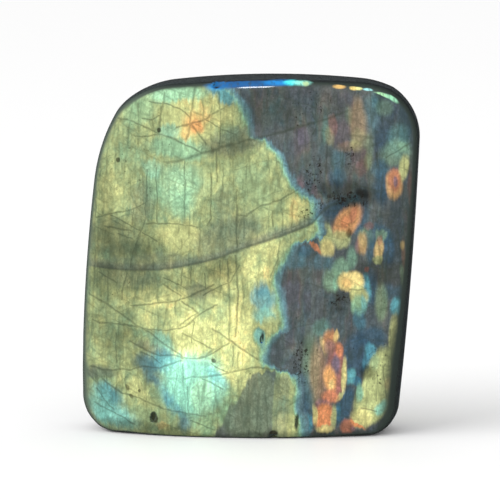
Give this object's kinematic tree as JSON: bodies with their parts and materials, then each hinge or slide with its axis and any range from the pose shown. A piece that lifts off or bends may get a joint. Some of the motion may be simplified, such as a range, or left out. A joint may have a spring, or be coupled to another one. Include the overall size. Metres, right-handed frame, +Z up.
{
  "type": "polished labradorite freeform",
  "caption": "Standing freeform of polished labradorite: a rounded slab with two domed faces, a ground round edge and a flat sawn base.",
  "frame": {"origin": "middle of the stone's box at the flat base, on the surface that it stands on", "axes": "+Z up from the base, -Y out of the face with the flash, +X to the right when that face is seen from the front"},
  "size_m": [0.0848, 0.0262, 0.09],
  "materials": {
    "labradorite": "polished, with a coloured flash in the front face"
  },
  "bodies": {
    "root": {"labradorite": "labradorite"}
  },
  "joints": []
}
